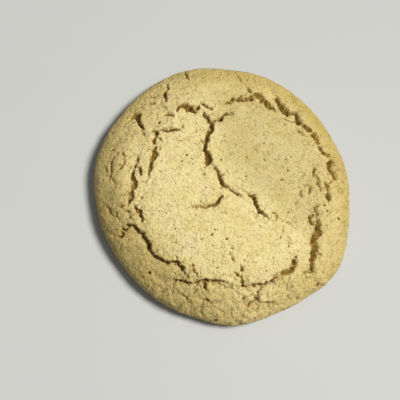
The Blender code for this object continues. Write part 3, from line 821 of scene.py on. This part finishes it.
def dough_material():
    """Baked sugar dough, dusted with cinnamon sugar: pale, dry, matt and finely grained.

    The dusted crust is cream with golden drifts. Broken crumb in the cracks is brown, and painted
    shade darkens it the deeper it lies, darkest in pits; the foot and the underside are golden brown
    from the tray. Painted shade also darkens the pores, the rim's flanks and the north-east rim. The
    IOR is that of sugar and starch, and the dry grains scatter half of the reflection.
    """
    material = bpy.data.materials.new("baked_sugar_dough")
    material.use_nodes = True
    tree = material.node_tree
    place = add(tree, "ShaderNodeTexCoord", {}, {}).outputs["Object"]
    field = {
        name: add(tree, "ShaderNodeAttribute", {"attribute_name": name}, {}).outputs["Fac"]
        for name in UNDERSIDE_FIELDS}
    noise = {
        name: add(tree, "ShaderNodeTexNoise", {}, {
            "Vector": place, "Scale": per_mm(size), "Detail": detail, "Roughness": 0.6}).outputs["Fac"]
        for name, (size, detail) in DOUGH_NOISE.items()}

    # The dusted crust: its noise, where that starts and is full, how strongly, and its colour.
    colour = linear("#e7d79b")
    for pattern, start, full, strength, code in (
            ("drifts", 0.35, 0.7, 1.0, "#dfce8c"), ("tan patches", 0.56, 0.7, 0.5, "#e6d0a4"),
            ("sugar", 0.5, 0.75, 0.55, "#f0e6b5"), ("dull flecks", 0.48, 0.32, 0.4, "#b09a5a"),
            ("dark flecks", 0.5, 0.34, 0.4, "#ad9854")):
        colour = coated(tree, colour, linear(code), strength, (noise[pattern], start, full))
    # The half with more cinnamon on it is duller, with painted shade on the south-west flank. The rim is
    # baked golden, with painted shade stronger on its east and west flanks, and the north-east rim
    # carries painted shade, tinted yellow.
    for name, code in (("dust_and_shade", "#e8e6dd"), ("rim", "#e6deca"), ("painted_shade_northeast", "#f1edd6")):
        colour = coated(tree, colour, linear(code), field[name], blend="MULTIPLY")

    # Fine crazing: the edges of distorted cells, broken up.
    bend = add(tree, "ShaderNodeTexNoise", {}, {
        "Vector": place, "Scale": per_mm(BEND_SIZE), "Detail": 3.0}).outputs["Color"]
    warped = add(
        tree, "ShaderNodeMix", {"data_type": "VECTOR"}, {0: BEND_SHARE, 4: place, 5: bend}).outputs[1]
    net = add(tree, "ShaderNodeTexVoronoi", {"feature": "DISTANCE_TO_EDGE"}, {
        "Vector": warped, "Scale": per_mm(CRAZE_SIZE)}).outputs["Distance"]
    craze = reached(tree, 1.0, (net, 0.05, 0.01), (noise["craze gaps"], 0.52, 0.62))
    # Thin splits where noise is at its middle value. Height counts for more, so that they run
    # round the steep rim, and they are common where the crust is crackled.
    drawn_up = add(tree, "ShaderNodeVectorMath", {"operation": "MULTIPLY"}, {
        0: warped, 1: (1.0, 1.0, SPLIT_STEEPNESS)}).outputs[0]
    lines = add(tree, "ShaderNodeTexNoise", {}, {
        "Vector": drawn_up, "Scale": per_mm(SPLIT_SIZE), "Detail": 2.0, "Roughness": 0.55}).outputs["Fac"]
    split = reached(
        tree, field["crackled"], (lines, 0.466, 0.492), (lines, 0.534, 0.508),
        (noise["split gaps"], 0.46, 0.56))
    # Pores and cinnamon specks: the middles of some cells. Pores are painted shade in small holes,
    # in clusters and along the thin splits; the specks are cinnamon's own colour and lie anywhere.
    strung = reached(tree, 1.0, (lines, 0.44, 0.48), (lines, 0.56, 0.52))
    clustered = reached(tree, 1.0, (noise["clusters"], 0.5, 0.66))
    crowded = add(
        tree, "ShaderNodeMath", {"operation": "MAXIMUM"}, {0: clustered, 1: strung}).outputs[0]
    marks = [(craze, 0.5, "#a08545"), (split, 0.65, "#8b7136")]
    for specks, where in ((SHADED_PORES, crowded), (CINNAMON, 1.0)):
        cells = add(
            tree, "ShaderNodeTexVoronoi", {}, {"Vector": warped, "Scale": per_mm(specks.spacing)})
        chance = add(tree, "ShaderNodeSeparateColor", {}, {0: cells.outputs["Color"]}).outputs[0]
        speck = reached(
            tree, where, (cells.outputs["Distance"], specks.radius, SPECK_CORE * specks.radius),
            (chance, specks.rarity, specks.rarity + SPECK_EASE))
        marks.append((speck, specks.strength, "#695426"))
    # All of these marks tint the crust and are dents in it. The darker tint of the crazing and thin
    # splits is partly crumb colour and partly painted shade in those fine cracks.
    dents = 0.0
    for mark, strength, code in marks:
        share = add(tree, "ShaderNodeMath", {"operation": "MULTIPLY"}, {0: mark, 1: strength}).outputs[0]
        colour = coated(tree, colour, linear(code), share)
        dents = add(tree, "ShaderNodeMath", {"operation": "MAXIMUM"}, {0: mark, 1: dents}).outputs[0]
    # The crust beside a split is stained by its crumb, in patches.
    stain = add(
        tree, "ShaderNodeMath", {"operation": "MULTIPLY"}, {0: field["stain"], 1: 0.4}).outputs[0]
    colour = coated(tree, colour, linear("#a88c4c"), stain, (noise["stains"], 0.38, 0.6))

    # Broken crumb, darkened by painted shade where the split is deep and darkest in pits. Its ragged
    # edge is two noises on the split.
    crumb = linear("#87692a")
    for value, start, full, strength, code in (
            (noise["crumbs"], 0.42, 0.58, 1.0, "#ab8b42"), (field["split"], 0.6, 1.0, 0.4, "#6d541a"),
            (field["split"], 1.0, 1.3, 1.0, "#4c3d14")):
        crumb = coated(tree, crumb, linear(code), strength, (value, start, full))
    ragged = field["split"]
    for pattern in ("crumb edge", "crumb lobes"):
        ragged = add(tree, "ShaderNodeMath", {"operation": "MULTIPLY_ADD"}, {
            0: noise[pattern], 1: 0.7, 2: ragged}).outputs[0]
    colour = coated(tree, colour, crumb, 1.0, (ragged, 0.9, 1.16))
    # The foot, browned by the tray.
    colour = coated(tree, colour, linear("#b98f45"), 0.85, (field["foot"], 0.3, 1.0))

    normal = add(tree, "ShaderNodeBump", {"invert": True}, {
        "Height": dents, "Strength": 0.7, "Distance": DENT_DEPTH * MM}).outputs["Normal"]
    for name, height in GRAIN_HEIGHTS.items():
        normal = add(tree, "ShaderNodeBump", {}, {
            "Height": noise[name], "Normal": normal, "Distance": height * MM}).outputs["Normal"]
    shader = tree.nodes["Principled BSDF"]
    tree.links.new(colour, shader.inputs["Base Color"])
    tree.links.new(normal, shader.inputs["Normal"])
    for name, value in DOUGH_SURFACE.items():
        shader.inputs[name].default_value = value
    return material


# The tabletop: how far it reaches to each side, in metres, and how matt its glaze is.
TABLE_REACH = 12.0
TABLE_ROUGHNESS = 0.6


def table_material():
    """Matt white glazed tabletop: even and pale, so that only soft shadows show on it."""
    material = bpy.data.materials.new("pale_matt_glaze")
    material.use_nodes = True
    shader = material.node_tree.nodes["Principled BSDF"]
    shader.inputs["Base Color"].default_value = linear("#bbbdba")
    shader.inputs["Roughness"].default_value = TABLE_ROUGHNESS
    return material


def make_cookie():
    """The dressed cookie, which stands for the solid and rides on the root body."""
    mesh = cookie_mesh()
    mesh.materials.append(dough_material())
    cookie = bpy.data.objects.new("cookie_crust", mesh)
    bpy.context.scene.collection.objects.link(cookie)
    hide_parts("cookie")
    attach(cookie, "root")


def make_table():
    """One wide flat square."""
    mesh = bpy.data.meshes.new("table")
    corners = [(x * TABLE_REACH, y * TABLE_REACH, 0) for x, y in ((-1, -1), (1, -1), (1, 1), (-1, 1))]
    mesh.from_pydata(corners, [], [(0, 1, 2, 3)])
    mesh.materials.append(table_material())
    table = bpy.data.objects.new("table", mesh)
    bpy.context.scene.collection.objects.link(table)


# The view: the cookie's axis leans away from the line of sight by the tilt, towards the
# bearing clockwise from the top of the view. Distances are in millimetres.
VIEW_TILT = 19.81
VIEW_BEARING = 39.59
VIEW_DISTANCE = 203.44
VIEW_OFFSET = (7.14, 1.63)
LENS, SENSOR = 63.0, 36.0


def picture_axes():
    """Matrix that takes a direction (right, up, towards the viewer) into the cookie's frame."""
    tilt, bearing = math.radians(VIEW_TILT), math.radians(VIEW_BEARING)
    z = Vector((math.sin(tilt) * math.sin(bearing), math.sin(tilt) * math.cos(bearing), math.cos(tilt)))
    x = Vector((0, 1, 0)).cross(z).normalized()
    return Matrix((x, z.cross(x), z))


def make_camera():
    """The camera, at the view distance along the line of sight and off its middle."""
    data = bpy.data.cameras.new("camera")
    data.lens, data.sensor_width = LENS, SENSOR
    camera = bpy.data.objects.new("camera", data)
    axes = picture_axes()
    place = axes @ Vector((-VIEW_OFFSET[0], -VIEW_OFFSET[1], VIEW_DISTANCE)) * MM
    camera.matrix_world = Matrix.Translation(place) @ axes.to_4x4()
    bpy.context.scene.collection.objects.link(camera)
    bpy.context.scene.camera = camera


# The light: its direction as (right, up, towards the viewer), its width in the sky in degrees, its
# strength and its colour. The room adds a little, and its backdrop is as pale as the table.
WINDOW = Vector((0.62, 0.27, 0.74))
WINDOW_WIDTH, WINDOW_STRENGTH, WINDOW_COLOUR = 20.0, 3.45, "#fffdf8"
CEILING_WIDTH, CEILING_STRENGTH, ROOM_COLOUR = 110.0, 0.42, "#f4f6ff"
ROOM_LIGHT, BACKDROP = 0.09, 0.66


def make_light(name, direction, angle, strength, colour):
    """Even soft light from that direction, as wide in the sky as the angle."""
    data = bpy.data.lights.new(name, "SUN")
    data.angle, data.energy, data.color = math.radians(angle), strength, linear(colour)[:3]
    light = bpy.data.objects.new(name, data)
    light.location = direction
    light.rotation_euler = direction.to_track_quat("Z", "Y").to_euler()
    bpy.context.scene.collection.objects.link(light)


def make_lights():
    """A soft window to the upper right, a wide ceiling and a dim room."""
    window = picture_axes() @ WINDOW.normalized()
    make_light("window", window, WINDOW_WIDTH, WINDOW_STRENGTH, WINDOW_COLOUR)
    make_light("ceiling", Vector((0, 0, 1)), CEILING_WIDTH, CEILING_STRENGTH, ROOM_COLOUR)
    world = bpy.data.worlds.new("room")
    world.use_nodes = True
    background = world.node_tree.nodes["Background"]
    background.inputs["Color"].default_value = linear(ROOM_COLOUR)
    seen = add(world.node_tree, "ShaderNodeLightPath", {}, {}).outputs["Is Camera Ray"]
    strength = add(world.node_tree, "ShaderNodeMapRange", {}, {
        "Value": seen, "To Min": ROOM_LIGHT, "To Max": BACKDROP}).outputs[0]
    world.node_tree.links.new(strength, background.inputs["Strength"])
    bpy.context.scene.world = world
    bpy.context.scene.view_settings.view_transform = "Standard"


make_cookie()
make_table()
make_camera()
make_lights()
